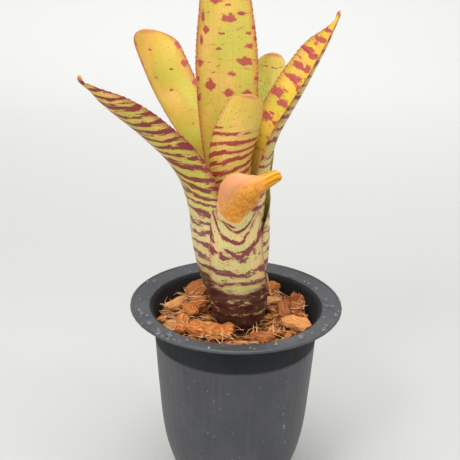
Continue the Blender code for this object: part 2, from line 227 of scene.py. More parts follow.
def closed_mesh(name, inner, outer):
    """A mesh of two grids of points joined round their edges, with a smooth finish."""
    rows, columns = inner.shape[:2]
    verts = np.concatenate([inner.reshape(-1, 3), outer.reshape(-1, 3)]) * MM
    index = np.arange(rows * columns).reshape(rows, columns)
    low, right = index[:-1, :-1], index[:-1, 1:]
    up, far = index[1:, :-1], index[1:, 1:]
    front = np.stack([low, right, far, up], axis=-1).reshape(-1, 4)
    back = front[:, ::-1] + rows * columns
    rim = np.concatenate([index[0, :], index[1:, -1], index[-1, -2::-1], index[-2:0:-1, 0]])
    after = np.roll(rim, -1)
    edge = np.stack([after, rim, rim + rows * columns, after + rows * columns], axis=-1)
    mesh = bpy.data.meshes.new(name)
    mesh.from_pydata(verts.tolist(), [], np.concatenate([front, back, edge]).tolist())
    mesh.update()
    mesh.shade_smooth()
    return mesh


def give(mesh, name, values):
    """Stores one number per vertex for the materials to read."""
    layer = mesh.attributes.new(name, "FLOAT", "POINT")
    layer.data.foreach_set("value", np.asarray(values, np.float32).ravel())


def mesh_of(name, bm):
    """The mesh of bm, with a smooth finish."""
    mesh = bpy.data.meshes.new(name)
    bm.to_mesh(mesh)
    bm.free()
    mesh.shade_smooth()
    return mesh


def add_object(name, mesh, finish, replaced=()):
    """A new piece on the one body. replaced names the CAD nodes that it stands for."""
    piece = bpy.data.objects.new(name, mesh)
    bpy.context.scene.collection.objects.link(piece)
    piece.data.materials.append(finish)
    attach(piece, "root")
    if replaced:
        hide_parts(*replaced)


def refinish(node, finish):
    """Gives a CAD node that is kept as it is its own finish."""
    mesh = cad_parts[node].data
    mesh.materials.clear()
    mesh.materials.append(finish)
    mesh.shade_smooth()


# ---------------------------------------------------------------- node helpers


class Nodes:
    """Short ways to add shader nodes to one material."""

    def __init__(self, name):
        self.material = bpy.data.materials.new(name)
        self.material.use_nodes = True
        self.tree = self.material.node_tree
        self.shader = self.tree.nodes["Principled BSDF"]

    def put(self, socket, value):
        """Links an output to the socket, or sets its value."""
        if hasattr(value, "is_output"):
            self.tree.links.new(value, socket)
        elif value is not None:
            socket.default_value = value

    def math(self, kind, a, b=None, c=None):
        node = self.tree.nodes.new("ShaderNodeMath")
        node.operation = kind
        for socket, value in zip(node.inputs, (a, b, c)):
            self.put(socket, value)
        return node.outputs[0]

    def ramp(self, value, low, high, to=(0.0, 1.0)):
        """value from low..high eased to the range to."""
        node = self.tree.nodes.new("ShaderNodeMapRange")
        node.interpolation_type = "SMOOTHSTEP"
        for socket, number in zip(node.inputs, (value, low, high, *to)):
            self.put(socket, number)
        return node.outputs[0]

    def mix(self, factor, a, b):
        """a where the factor is 0, b where it is 1."""
        node = self.tree.nodes.new("ShaderNodeMix")
        node.data_type = "RGBA"
        self.put(node.inputs[0], factor)
        for socket, value in ((node.inputs[6], a), (node.inputs[7], b)):
            self.put(socket, (*value, 1.0) if isinstance(value, tuple) else value)
        return node.outputs[2]

    def attribute(self, name):
        node = self.tree.nodes.new("ShaderNodeAttribute")
        node.attribute_name = name
        return node.outputs["Fac"]

    def vector(self, x, y, z=0.0):
        node = self.tree.nodes.new("ShaderNodeCombineXYZ")
        for socket, value in zip(node.inputs, (x, y, z)):
            self.put(socket, value)
        return node.outputs[0]

    def place(self):
        """The point in the object's own frame, in mm."""
        node = self.tree.nodes.new("ShaderNodeTexCoord")
        scale = self.tree.nodes.new("ShaderNodeVectorMath")
        scale.operation = "SCALE"
        self.put(scale.inputs[0], node.outputs["Object"])
        scale.inputs["Scale"].default_value = 1 / MM
        return scale.outputs[0]

    def parts(self, vector):
        """The vector's x, y and z."""
        node = self.tree.nodes.new("ShaderNodeSeparateXYZ")
        self.put(node.inputs[0], vector)
        return node.outputs

    def noise(self, vector, scale=1.0, detail=2.0, rough=0.5, bend=0.0):
        node = self.tree.nodes.new("ShaderNodeTexNoise")
        self.put(node.inputs["Vector"], vector)
        settings = {"Scale": scale, "Detail": detail, "Roughness": rough, "Distortion": bend}
        for name, value in settings.items():
            node.inputs[name].default_value = value
        return node.outputs["Fac"]

    def cells(self, vector, scale=1.0):
        """(distance to the nearest cell centre, random value of that cell)."""
        node = self.tree.nodes.new("ShaderNodeTexVoronoi")
        self.put(node.inputs["Vector"], vector)
        node.inputs["Scale"].default_value = scale
        return node.outputs["Distance"], self.parts(node.outputs["Color"])[0]

    def bump(self, height, strength, distance):
        node = self.tree.nodes.new("ShaderNodeBump")
        node.inputs["Strength"].default_value = strength
        node.inputs["Distance"].default_value = distance * MM
        self.put(node.inputs["Height"], height)
        self.put(self.shader.inputs["Normal"], node.outputs[0])

    def finish(self, colour, roughness, **constants):
        """The material, once its shader is set. A constant's name has _ for each space."""
        self.put(self.shader.inputs["Base Color"], colour)
        self.put(self.shader.inputs["Roughness"], roughness)
        for name, value in constants.items():
            self.shader.inputs[name.replace("_", " ")].default_value = value
        return self.material


# ---------------------------------------------------------------- leaf finish

# Colours are linear. inner is the face towards the plant's middle, outer the blade's other face.
# bands is how much of the inner and the outer face they cover, period their spacing in mm, slant how
# far they fall across the blade, ragged how broken they are, bare where along the leaf they stop, and
# dark how high up the sheath, in mm, its maroon foot reaches. dry is where the front leaf turns orange,
# and streaks the colour of the inner face's bands.
LOOKS = {
    "leaf_outer_front_dry": dict(
        inner=(0.74, 0.32, 0.03), outer=(0.66, 0.57, 0.26), margin=(0.62, 0.40, 0.22),
        bands=(0.0, 0.52), period=6.6, slant=0.0, ragged=3.6, dark=20.0, dry=59.5),
    "leaf_left_arching": dict(
        inner=(0.62, 0.46, 0.05), outer=(0.60, 0.52, 0.07), margin=(0.34, 0.09, 0.04),
        bands=(0.75, 0.74), period=5.6, slant=-0.65, ragged=3.8, dark=31.0),
    "leaf_back_right": dict(
        # Its inner face is its own pale yellow-green, lightened further as painted light to make up for the
        # shade the right arching leaf casts on it.
        inner=(0.86, 0.92, 0.22), outer=(0.66, 0.60, 0.22), margin=(0.80, 0.70, 0.18),
        bands=(-0.2, 0.45), period=6.0, slant=0.0, ragged=3.6, dark=30.0),
    "leaf_back_left": dict(
        inner=(0.58, 0.40, 0.045), outer=(0.62, 0.54, 0.18), margin=(0.50, 0.16, 0.04),
        bands=(-0.25, 0.45), period=6.0, slant=0.0, ragged=3.6, dark=30.0),
    "leaf_right_arching": dict(
        inner=(0.74, 0.49, 0.03), outer=(0.62, 0.53, 0.16), margin=(0.56, 0.30, 0.05),
        bands=(0.08, 0.50), period=5.6, slant=0.2, ragged=3.6, dark=30.0),
    "leaf_back_tall": dict(
        inner=(0.64, 0.49, 0.08), outer=(0.60, 0.54, 0.18), margin=(0.60, 0.22, 0.06),
        bands=(-0.15, 0.45), period=6.4, slant=0.0, ragged=3.6, dark=30.0),
    "leaf_inner_front": dict(
        inner=(0.66, 0.50, 0.10), outer=(0.74, 0.50, 0.11), margin=(0.60, 0.36, 0.10),
        bands=(0.3, 0.62), period=4.2, slant=0.42, ragged=3.2, dark=30.0, bare=0.90,
        streaks=(0.34, 0.035, 0.035)),
}
LEAF_ATTRIBUTES = ("across", "along", "inside", "edge", "rise", "mark")
SHEATH = (0.70, 0.60, 0.27)
GREEN_CLOUD = (0.46, 0.52, 0.07)
WARM_CLOUD = (0.86, 0.52, 0.17)
TIP_GLOW = (0.80, 0.38, 0.06)
TIP_RED = (0.60, 0.20, 0.10)
VEIN = (0.36, 0.30, 0.04)
HALO = (0.62, 0.22, 0.12)
BLOTCH = (0.40, 0.045, 0.065)
MAROON = (0.060, 0.008, 0.012)
DEEP_RED = (0.26, 0.026, 0.036)
CRIMSON = (0.42, 0.050, 0.055)
WINE = (0.21, 0.016, 0.028)
PURPLE = (0.20, 0.040, 0.060)
DRY_BRIM = (0.80, 0.50, 0.26)
DRY_PALE = (0.80, 0.36, 0.05)
DRY_ORANGE = (0.64, 0.23, 0.022)
DRY_PINK = (0.64, 0.28, 0.12)
DRY_GOLD = (0.76, 0.32, 0.006)
DRY_VEIN = (0.50, 0.15, 0.015)
DRY_RIB = (0.30, 0.10, 0.01)

# Blotches that stand out, as (u across, height in mm, half width in mm, half length in mm)
MARKS = {
    "leaf_back_tall": [
        (-0.13, 242.5, 2.9, 1.6), (-0.74, 230, 2.0, 0.9), (-0.72, 236, 1.4, 0.7), (-0.58, 223.6, 3.4, 1.6),
        (0.50, 213, 2.3, 2.2), (-0.66, 209, 2.0, 1.4), (-0.06, 208.6, 2.2, 1.5), (0.80, 244, 0.9, 2.4),
        (0.64, 237.7, 1.4, 1.3), (0.82, 233, 0.8, 2.0), (0.80, 223, 1.2, 1.4), (0.92, 216, 0.9, 1.2),
        (0.94, 208, 1.0, 1.8), (-0.95, 239, 0.8, 1.1), (-0.95, 234, 0.8, 1.0), (-0.95, 216, 1.1, 0.9),
        (-0.95, 203, 1.2, 1.5), (-0.60, 192, 2.4, 2.4), (-0.70, 184, 2.8, 2.2), (0.1, 199, 1.4, 0.8),
        (0.35, 250, 2.0, 1.1), (-0.45, 253, 2.2, 1.0), (0.5, 258, 1.3, 0.8), (0.1, 236, 1.6, 0.6),
        (0.2, 229, 1.2, 0.6), (-0.2, 217, 1.8, 0.7), (-0.1, 248, 1.2, 0.6), (0.25, 221, 1.0, 0.5)],
    "leaf_back_left": [
        (-0.92, 226, 1.2, 1.6), (-0.9, 218, 1.2, 1.8), (-0.93, 209, 1.2, 1.5), (0.9, 228, 1.0, 1.4),
        (0.93, 220, 1.0, 1.6), (0.92, 211, 1.0, 1.4), (0.1, 224, 1.0, 0.6), (-0.4, 215, 0.9, 0.6),
        (0.3, 212, 0.8, 0.5), (-0.1, 206, 1.0, 0.6)],
    "leaf_right_arching": [
        (0.55, 238.5, 2.4, 0.9), (0.35, 234, 3.0, 1.2), (0.62, 229.5, 3.0, 1.3), (0.25, 227, 3.4, 1.3),
        (0.60, 222.5, 3.2, 1.3), (0.15, 221, 3.0, 1.3), (0.45, 216.5, 4.2, 1.5), (0.05, 212, 2.0, 1.4),
        (0.75, 209.5, 3.0, 1.8), (0.35, 205, 3.4, 1.6), (0.7, 198, 3.2, 1.4), (0.2, 196, 2.6, 1.2)],
}


def mark_field(points, across, along, marks):
    """1 in the middle of a mark, falling to 0 well outside it, for each point of a leaf's grid."""
    field = np.zeros(points.shape[:2])
    for u, height, half_width, half_length in marks:
        column = int(round((u + 1) / 2 * ACROSS))
        row = np.argmin(np.abs(points[:, column, 2] - height))
        aside = (across - across[row, column]) / half_width
        ahead = (along - along[row, column]) / half_length
        field = np.maximum(field, np.clip(1.4 - 0.6 * np.hypot(aside, ahead), 0.0, 1.0))
    return field


def leaf_fields(n, offset, slant, dry):
    """What the parts of a leaf's pattern share: where the point is, and noises stretched to the leaf."""
    leaf = SimpleNamespace(**{name: n.attribute(name) for name in LEAF_ATTRIBUTES})
    leaf.seed = n.math("MULTIPLY_ADD", leaf.inside, 40.0, offset)
    leaf.blade = n.ramp(leaf.rise, 0.36, 0.56)
    leaf.aside = n.math("SQRT", n.math("MULTIPLY_ADD", leaf.across, leaf.across, 6.0))
    if dry:
        fall = n.math("MULTIPLY", leaf.aside, n.ramp(leaf.along, 30.0, 58.0, (0.0, 0.75)))
    else:
        fall = n.math("MULTIPLY", leaf.across, n.math("MULTIPLY", leaf.blade, slant))
    level = n.math("SUBTRACT", leaf.along, fall)

    def stretched(wide, long, height, **settings):
        """Noise whose frequencies across and along the leaf, per mm, are wide and long."""
        return n.noise(n.vector(n.math("MULTIPLY", leaf.across, wide), n.math("MULTIPLY", height, long),
                                leaf.seed), **settings)

    leaf.level = level
    leaf.clouds = stretched(0.07, 0.05, leaf.along, detail=3.0)
    leaf.veins = stretched(1.7, 0.03, leaf.along, detail=2.0)
    leaf.drift = stretched(0.07, 0.10, level, detail=2.0)
    leaf.torn = stretched(0.17, 0.55, level, detail=5.0, rough=0.66, bend=0.5)
    leaf.grain = stretched(1.3, 1.3, leaf.along, detail=3.0, rough=0.6)
    leaf.warp = stretched(0.45, 0.55, leaf.along, detail=3.0, rough=0.6)
    leaf.lost = stretched(0.16, 0.34, leaf.along, detail=4.0, rough=0.6)
    return leaf


def centred(n, field, strength):
    """A noise moved to have its middle at 0, times the strength."""
    return n.math("MULTIPLY", n.math("SUBTRACT", field, 0.5), strength)


def ground_colour(n, leaf, inner, outer, margin):
    """The leaf without its markings."""
    ground = n.mix(leaf.blade, SHEATH, n.mix(leaf.inside, outer, inner))
    ground = n.mix(n.ramp(leaf.clouds, 0.42, 0.66, (0.0, 0.5)), ground, GREEN_CLOUD)
    ground = n.mix(n.ramp(leaf.clouds, 0.52, 0.34, (0.0, 0.45)), ground, WARM_CLOUD)
    ground = n.mix(n.ramp(leaf.rise, 0.80, 0.99, (0.0, 0.45)), ground, TIP_GLOW)
    ground = n.mix(n.ramp(leaf.edge, 0.72, 1.0, (0.0, 0.75)), ground, margin)
    return n.mix(n.ramp(leaf.veins, 0.38, 0.72, (0.0, 0.2)), ground, VEIN)


def band_field(n, leaf, bands, period, ragged, bare):
    """High in the cross bands and low between them."""
    turns = n.math("MULTIPLY", leaf.level, 2 * math.pi / period)
    phase = n.math("ADD", turns, n.math("MULTIPLY", leaf.drift, 11.0))
    wave = n.math("MULTIPLY", n.math("SINE", phase), 0.50)
    on_inner, on_outer = bands
    cover = n.math("MULTIPLY_ADD", leaf.inside, on_inner - on_outer, on_outer)
    on_sheath = n.math("MULTIPLY", n.math("SUBTRACT", 1.0, leaf.blade), 0.56 - on_outer)
    cover = n.math("ADD", cover, on_sheath)
    field = n.math("ADD", n.math("ADD", wave, centred(n, leaf.torn, ragged)), cover)
    field = n.math("ADD", field, centred(n, leaf.grain, 0.8))
    return n.math("SUBTRACT", field, n.ramp(leaf.rise, bare - 0.08, bare, (0.0, 1.0)))


def spot_cover(n, leaf):
    """1 in small spots scattered over the leaf."""
    wide, long = n.math("MULTIPLY", leaf.across, 0.9), n.math("MULTIPLY", leaf.along, 1.25)
    far, pick = n.cells(n.vector(wide, long, leaf.seed))
    return n.math("MULTIPLY", n.ramp(far, 0.34, 0.16), n.ramp(pick, 0.60, 0.72))


def blotch_cover(n, leaf):
    """1 in the leaf's marks, with torn edges."""
    blotch = n.math("ADD", leaf.mark, centred(n, leaf.warp, 1.5))
    return n.math("MULTIPLY", n.ramp(blotch, 0.56, 0.80), n.ramp(leaf.mark, 0.0, 0.2))


def foot_cover(n, leaf, dark, dry):
    """1 in the maroon foot of the sheath, which has pale islands."""
    foot = n.math("ADD", leaf.along, centred(n, leaf.torn, 30.0))
    foot = n.math("SUBTRACT", foot, n.math("MULTIPLY", leaf.aside, 0.6 if dry else 0.0))
    foot = n.ramp(foot, dark + 4.0, dark - 4.0)
    islands = n.math("MULTIPLY", n.ramp(leaf.lost, 0.54, 0.62, (0.0, 0.75)), n.ramp(leaf.along, 3.0, 9.0))
    return n.math("MULTIPLY", foot, n.math("SUBTRACT", 1.0, islands))


def marked_colour(n, leaf, ground, field, streaks, dark, dry):
    """The ground with its bands, spots, blotches, margin dots and foot."""
    ink = n.mix(leaf.blade, PURPLE, n.mix(leaf.inside, streaks, CRIMSON))
    ink = n.mix(n.ramp(leaf.torn, 0.50, 0.78, (0.0, 0.8)), ink, n.mix(leaf.inside, MAROON, DEEP_RED))
    dots = n.math("MULTIPLY", n.ramp(leaf.edge, 0.90, 0.985), n.ramp(leaf.grain, 0.46, 0.56))
    colour = n.mix(n.ramp(field, 0.28, 0.80, (0.0, 0.42)), ground, HALO)
    for cover, share, paint in ((spot_cover(n, leaf), 0.7, ink), (n.ramp(field, 0.66, 0.86), 0.92, ink),
                                (blotch_cover(n, leaf), 0.9, BLOTCH), (dots, 0.75, WINE),
                                (foot_cover(n, leaf, dark, dry), 0.94, MAROON)):
        colour = n.mix(n.math("MULTIPLY", cover, share), colour, paint)
    return colour


def withered_colour(n, leaf, colour, dry):
    """The colour with the dried blade laid over it, past the height dry, in mm along the leaf."""
    past = n.math("SUBTRACT", leaf.along, n.math("MULTIPLY", leaf.aside, 1.05))
    past = n.math("ADD", past, n.math("MULTIPLY", leaf.grain, 1.2))
    brim = n.math("MULTIPLY", n.ramp(past, dry - 2.2, dry - 0.6), 0.7)
    withered = n.mix(n.ramp(leaf.warp, 0.35, 0.65), DRY_PALE, DRY_ORANGE)
    left = n.math("MULTIPLY", n.ramp(leaf.across, -1.0, -6.0), n.ramp(leaf.along, dry + 4.0, dry + 16.0))
    withered = n.mix(n.math("MAXIMUM", left, n.ramp(leaf.edge, 0.80, 0.98)), withered, DRY_PINK)
    withered = n.mix(n.ramp(leaf.veins, 0.45, 0.75, (0.0, 0.55)), withered, DRY_VEIN)
    ribs = n.ramp(n.math("SINE", n.math("MULTIPLY", leaf.across, 3.4)), 0.1, 0.9, (0.0, 0.75))
    withered = n.mix(n.ramp(leaf.rise, 0.90, 0.94), withered, n.mix(ribs, DRY_GOLD, DRY_RIB))
    colour = n.mix(brim, colour, DRY_BRIM)
    return n.mix(n.ramp(past, dry - 0.5, dry + 0.5), colour, withered)


def leaf_material(name, inner, outer, margin, bands, period, slant, ragged, dark, dry=0.0, bare=1.3,
                  streaks=WINE):
    """One leaf's finish. The comment over LOOKS says what each setting is."""
    n = Nodes(name)
    leaf = leaf_fields(n, len(name) * 3.0 + dark, slant, dry)
    ground = ground_colour(n, leaf, inner, outer, margin)
    field = band_field(n, leaf, bands, period, ragged, bare)
    colour = marked_colour(n, leaf, ground, field, streaks, dark, dry)
    if dry:
        colour = withered_colour(n, leaf, colour, dry)
    else:
        tip = n.ramp(n.math("ADD", leaf.rise, n.math("MULTIPLY", leaf.grain, 0.01)), 0.985, 0.995)
        colour = n.mix(n.math("MULTIPLY", tip, 0.7), colour, TIP_RED)
    height = n.math("ADD", n.math("MULTIPLY", leaf.veins, 0.8), n.math("MULTIPLY", leaf.grain, 0.25))
    n.bump(height, 0.35, 0.25)
    return n.finish(colour, n.ramp(leaf.grain, 0.3, 0.7, (0.38, 0.54)), Specular_IOR_Level=0.30)


def make_leaf(number, name, shape):
    """One leaf with the numbers that its pattern reads. It ripples only above the sheath."""
    points, u, width, length = leaf_grid(**shape)
    free = ease((length - length[-1] * 0.45) / (length[-1] * 0.3))[:, None, None]
    points = points * (1 - free) + ripple(points, number) * free
    thickness = MARGIN_THICKNESS + (LEAF_THICKNESS - MARGIN_THICKNESS) * (1 - np.abs(u) ** 4)
    thickness = np.repeat(thickness[None], len(points), axis=0)
    inner, outer = shell(points, thickness)
    mesh = closed_mesh(name, inner, outer)
    along = np.repeat(length[:, None], len(u), axis=1)
    across = width[:, None] * u
    edge = np.repeat(np.abs(u)[None], len(points), axis=0)
    rise = along / length[-1]
    mark = mark_field(points, across, along, MARKS.get(name, []))
    for key, grid in (("across", across), ("along", along), ("edge", edge), ("rise", rise)):
        give(mesh, key, np.concatenate([grid, grid]))
    give(mesh, "mark", np.concatenate([mark, np.zeros_like(mark)]))
    give(mesh, "inside", np.concatenate([np.ones(mark.size), np.zeros(mark.size)]))
    finish = leaf_material(f"finish_{name}", **LOOKS[name])
    add_object(f"bromeliad_{name}", mesh, finish, [name])


# ---------------------------------------------------------------- husk, mm

LITTER_MIDDLE = 1.0  # the middle of the loose litter, along X
CRUMBS = 210
CRUMB_RING = (13.5, 24.5)  # how near the litter's middle, and how much further out
CRUMB_LIMIT = 37.0  # from the pot's axis
FIBRES = 430
FIBRE_RING = (13.0, 24.0)
FIBRE_LIMIT = 36.5
FIBRE_REACH = 38.5
FIBRE_RADIUS = 0.16
FIBRE_STEPS = 7
INSIDE_WALL = [(90.0, 38.9), (94.0, 39.2), (103.6, 41.2)]  # (height, radius) of the pot's inner wall
WALL_GAP = 0.2
BED_RINGS, BED_SIDES = 46, 120
BED_TOP = 93.6
BED_WALL = [(80.0, 0.985), (60.0, 0.935), (30.0, 0.84), (12.0, 0.66)]  # (height, share of its top's radius)
DARK_FLECK = (0.05, 0.018, 0.008)

# (name, dark, middle and pale colour) of the three kinds of husk
HUSKS = [
    ("husk_orange", (0.34, 0.085, 0.018), (0.74, 0.24, 0.050), (0.88, 0.46, 0.16)),
    ("husk_brown", (0.16, 0.040, 0.014), (0.54, 0.16, 0.040), (0.80, 0.38, 0.13)),
    ("husk_pale", (0.48, 0.16, 0.040), (0.84, 0.38, 0.12), (0.92, 0.60, 0.30))]


def husk_material(name, dark, mid, pale):
    """Fibrous husk, streaked along each piece's own length."""
    n = Nodes(name)
    fibre, girth, pick = n.attribute("fibre"), n.attribute("girth"), n.attribute("pick")
    seed = n.math("MULTIPLY", pick, 37.0)
    fine = n.vector(n.math("MULTIPLY", fibre, 0.16), n.math("MULTIPLY", girth, 3.0), seed)
    broad = n.vector(n.math("MULTIPLY", fibre, 0.15), n.math("MULTIPLY", girth, 0.25), seed)
    strands = n.noise(fine, detail=4, rough=0.6)
    patch = n.noise(broad, detail=3)
    crumbs = n.noise(n.place(), scale=1.6, detail=4, rough=0.7)
    colour = n.mix(n.ramp(strands, 0.30, 0.62), dark, mid)
    bright = n.math("ADD", strands, n.math("MULTIPLY", pick, 0.12))
    colour = n.mix(n.ramp(bright, 0.56, 0.80), colour, pale)
    colour = n.mix(n.ramp(patch, 0.50, 0.72, (0.0, 0.55)), colour, dark)
    colour = n.mix(n.ramp(crumbs, 0.60, 0.74, (0.0, 0.35)), colour, DARK_FLECK)
    n.bump(n.math("ADD", strands, n.math("MULTIPLY", crumbs, 0.5)), 1.0, 0.6)
    return n.finish(colour, 0.82, Specular_IOR_Level=0.25)


def chip_grid(length, width, thickness, jitter, rings=34, sides=40):
    """Points of a split piece of husk, lying along X: ragged at the ends, ridged along its fibres."""
    start = Vector([jitter.uniform(-50, 50) for _ in range(3)])
    turn = np.linspace(0, 2 * math.pi, sides, endpoint=False)
    bend = jitter.uniform(-0.12, 0.12) * length
    grid = np.zeros((rings, sides, 3))
    fray = [jitter.uniform(0.80, 1.08) for _ in range(sides)]
    back = [jitter.uniform(0.80, 1.08) for _ in range(sides)]
    for i, along in enumerate(np.linspace(-1, 1, rings)):
        taper = 1.0 - 0.35 * abs(along) ** 4
        for j, angle in enumerate(turn):
            cosine, sine = math.cos(angle), math.sin(angle)
            y = math.copysign(abs(cosine) ** 0.55, cosine) * width / 2 * taper
            z = math.copysign(abs(sine) ** 0.6, sine) * thickness / 2 * taper
            ridge = noise.fractal(start + Vector((along * 0.8, y * 0.9, z * 0.9)), 0.7, 2.0, 4)
            lump = noise.noise(start + Vector((along * 1.6, y * 0.22, z * 0.22 + 9)))
            grow = 1.0 + 0.16 * ridge + 0.22 * lump
            reach = fray[j] if along > 0 else back[j]
            x = along * length / 2 * (1 + (reach - 1) * abs(along) ** 2)
            grid[i, j] = (x, y * grow, z * grow + bend * (along**2 - 0.4) + 0.25 * thickness * lump)
    return grid


def grid_faces(rings, sides, start=0):
    """Quads of a closed tube of rings, with one face closing each end."""
    faces = [(start + i * sides + j, start + i * sides + (j + 1) % sides,
              start + (i + 1) * sides + (j + 1) % sides, start + (i + 1) * sides + j)
             for i in range(rings - 1) for j in range(sides)]
    last = start + (rings - 1) * sides
    faces.append(tuple(start + j for j in reversed(range(sides))))
    faces.append(tuple(last + j for j in range(sides)))
    return faces


def inside_pot(point):
    """The point moved towards the pot's axis where it would reach into the wall."""
    heights, radii = zip(*INSIDE_WALL)
    reach = float(np.interp(point.z, heights, radii)) - WALL_GAP
    point.xy *= min(1.0, reach / max(point.xy.length, 1e-6))
    return point


class Husk:
    """Collects split pieces of husk into one mesh, and keeps them inside the pot."""

    def __init__(self):
        self.points, self.faces, self.fibre, self.girth, self.pick = [], [], [], [], []

    def add(self, grid, where, pick):
        rings, sides = grid.shape[:2]
        self.faces += grid_faces(rings, sides, len(self.points))
        flat = grid.reshape(-1, 3)
        self.points += [inside_pot(where @ Vector(p)) * MM for p in flat]
        self.fibre += [p[0] for p in flat]
        self.girth += [p[1] + 0.7 * p[2] for p in flat]
        self.pick += [pick] * len(flat)

    def mesh(self, name):
        made = bpy.data.meshes.new(name)
        made.from_pydata(self.points, [], self.faces)
        made.update()
        made.shade_smooth()
        give(made, "fibre", self.fibre)
        give(made, "girth", self.girth)
        give(made, "pick", self.pick)
        return made


def node_frame(node):
    """A CAD chip's matrix in mm, and its (length, width, thickness) along its own ways."""
    corners = np.array([tuple(v.co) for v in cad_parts[node].data.vertices]) / MM
    middle = corners.mean(axis=0)
    _, _, ways = np.linalg.svd(corners - middle)
    if np.linalg.det(ways) < 0:
        ways[2] = -ways[2]
    spread = np.ptp((corners - middle) @ ways.T, axis=0)
    turn = Matrix(ways.T.tolist()).to_4x4()
    return Matrix.Translation(Vector(middle)) @ turn, spread


def litter_spot(jitter, ring):
    """A random (x, y) in the ring round the plant's foot, more often far out than near."""
    near, width = ring
    bearing, away = jitter.uniform(0, 2 * math.pi), near + width * math.sqrt(jitter.random())
    return away * math.cos(bearing) + LITTER_MIDDLE, away * math.sin(bearing)


def make_chips(jitter):
    """A fibrous chip for each CAD chip, and crumbs between them."""
    finishes = [husk_material(*colours) for colours in HUSKS]
    chips = sorted(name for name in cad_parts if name.startswith("husk_chip"))
    for number, node in enumerate(chips):
        where, (length, width, thickness) = node_frame(node)
        husk = Husk()
        husk.add(chip_grid(length, width, thickness, jitter), where, jitter.random())
        finish = finishes[number % len(finishes)]
        add_object(f"{node}_fibrous", husk.mesh(node), finish, [node])
    crumbs = Husk()
    for _ in range(CRUMBS):
        x, y = litter_spot(jitter, CRUMB_RING)
        size = jitter.uniform(4, 10), jitter.uniform(1.5, 4.5), jitter.uniform(1.0, 2.2)
        where = Matrix.Translation((x, y, jitter.uniform(94, 99)))
        for least, most, axis in ((0, 6.3, "Z"), (-0.4, 0.4, "Y"), (-0.5, 0.5, "X")):
            where = where @ Matrix.Rotation(jitter.uniform(least, most), 4, axis)
        if math.hypot(x, y) < CRUMB_LIMIT:
            crumbs.add(chip_grid(*size, jitter, rings=14, sides=18), where, jitter.random())
    add_object("husk_crumbs", crumbs.mesh("husk_crumbs"), finishes[0])


def bed_material():
    n = Nodes("husk_bed")
    place = n.place()
    clumps = n.noise(place, scale=0.30, detail=5, rough=0.65)
    grains = n.noise(place, scale=1.4, detail=5, rough=0.7, bend=0.8)
    colour = n.mix(n.ramp(clumps, 0.36, 0.62), (0.05, 0.016, 0.007), (0.40, 0.125, 0.034))
    colour = n.mix(n.ramp(grains, 0.50, 0.70), colour, (0.70, 0.28, 0.08))
    n.bump(n.math("ADD", clumps, grains), 1.0, 1.2)
    return n.finish(colour, 0.92, Specular_IOR_Level=0.2)


def circle(radius):
    """Points round the pot's axis, at height 0."""
    angles = [2 * math.pi * j / BED_SIDES for j in range(BED_SIDES)]
    return [Vector((radius * math.cos(angle), radius * math.sin(angle), 0)) for angle in angles]


def bed_height(spot, away, radius):
    """How high the bed's top is: a low crown with lumps that fade towards the pot's wall."""
    lift = noise.fractal(spot * 0.16, 0.6, 2.0, 4) * 2.2 + noise.noise(spot * 0.9) * 0.7
    return BED_TOP + 1.0 * (1 - away / radius) + min(lift, 3.0) * min(1.0, (radius - away) / 3 + 0.3)


def make_bed():
    """The medium's rough top and plain sides, in place of its CAD solid."""
    low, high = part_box("growing_medium")
    radius = (high.x - low.x) / 2 / MM
    bm = bmesh.new()
    rings = []
    for i in range(BED_RINGS + 1):
        away = max(0.2, radius * 0.995 * i / BED_RINGS)
        rings.append([bm.verts.new(Vector((spot.x, spot.y, bed_height(spot, away, radius))) * MM)
                      for spot in circle(away)])
    for z, share in BED_WALL:
        rings.append([bm.verts.new(Vector((spot.x, spot.y, z)) * MM) for spot in circle(radius * share)])
    for inner, outer in zip(rings, rings[1:]):
        for j in range(BED_SIDES):
            after = (j + 1) % BED_SIDES
            bm.faces.new((inner[j], outer[j], outer[after], inner[after]))
    bm.faces.new(list(reversed(rings[0])))
    bm.faces.new(rings[-1])
    bmesh.ops.recalc_face_normals(bm, faces=bm.faces)
    add_object("husk_bed", mesh_of("husk_bed", bm), bed_material(), ["growing_medium"])


def fibre_material():
    n = Nodes("husk_fibre")
    shade = n.noise(n.place(), scale=0.25, detail=2)
    colour = n.mix(n.ramp(shade, 0.35, 0.65), (0.50, 0.19, 0.050), (0.90, 0.64, 0.34))
    return n.finish(colour, 0.75, Specular_IOR_Level=0.3)


def make_fibres(jitter):
    """Loose hairs of husk, as one curve with many short splines."""
    curve = bpy.data.curves.new("husk_fibres", "CURVE")
    curve.dimensions = "3D"
    curve.bevel_depth = FIBRE_RADIUS * MM
    curve.bevel_resolution = 1
    curve.use_fill_caps = True
    for _ in range(FIBRES):
        x, y = litter_spot(jitter, FIBRE_RING)
        place = Vector((x, y, jitter.uniform(97, 103)))
        if place.xy.length > FIBRE_LIMIT:
            continue
        heading, length = jitter.uniform(0, 2 * math.pi), jitter.uniform(4, 13)
        climb, curl = jitter.uniform(-0.15, 0.45), jitter.uniform(-1.6, 1.6)
        spline = curve.splines.new("POLY")
        spline.points.add(FIBRE_STEPS)
        for i, point in enumerate(spline.points):
            point.co = (*(place * MM), 1.0)
            point.radius = jitter.uniform(0.7, 1.1) * (1.0 - 0.09 * i) * (1.0 + 0.6 * (length > 9))
            turn = heading + curl * i / FIBRE_STEPS
            step = Vector((math.cos(turn), math.sin(turn), climb - 0.06 * i))
            place = place + step * length / FIBRE_STEPS
            place.xy *= min(1.0, FIBRE_REACH / place.xy.length)
    add_object("husk_fibres", curve, fibre_material())


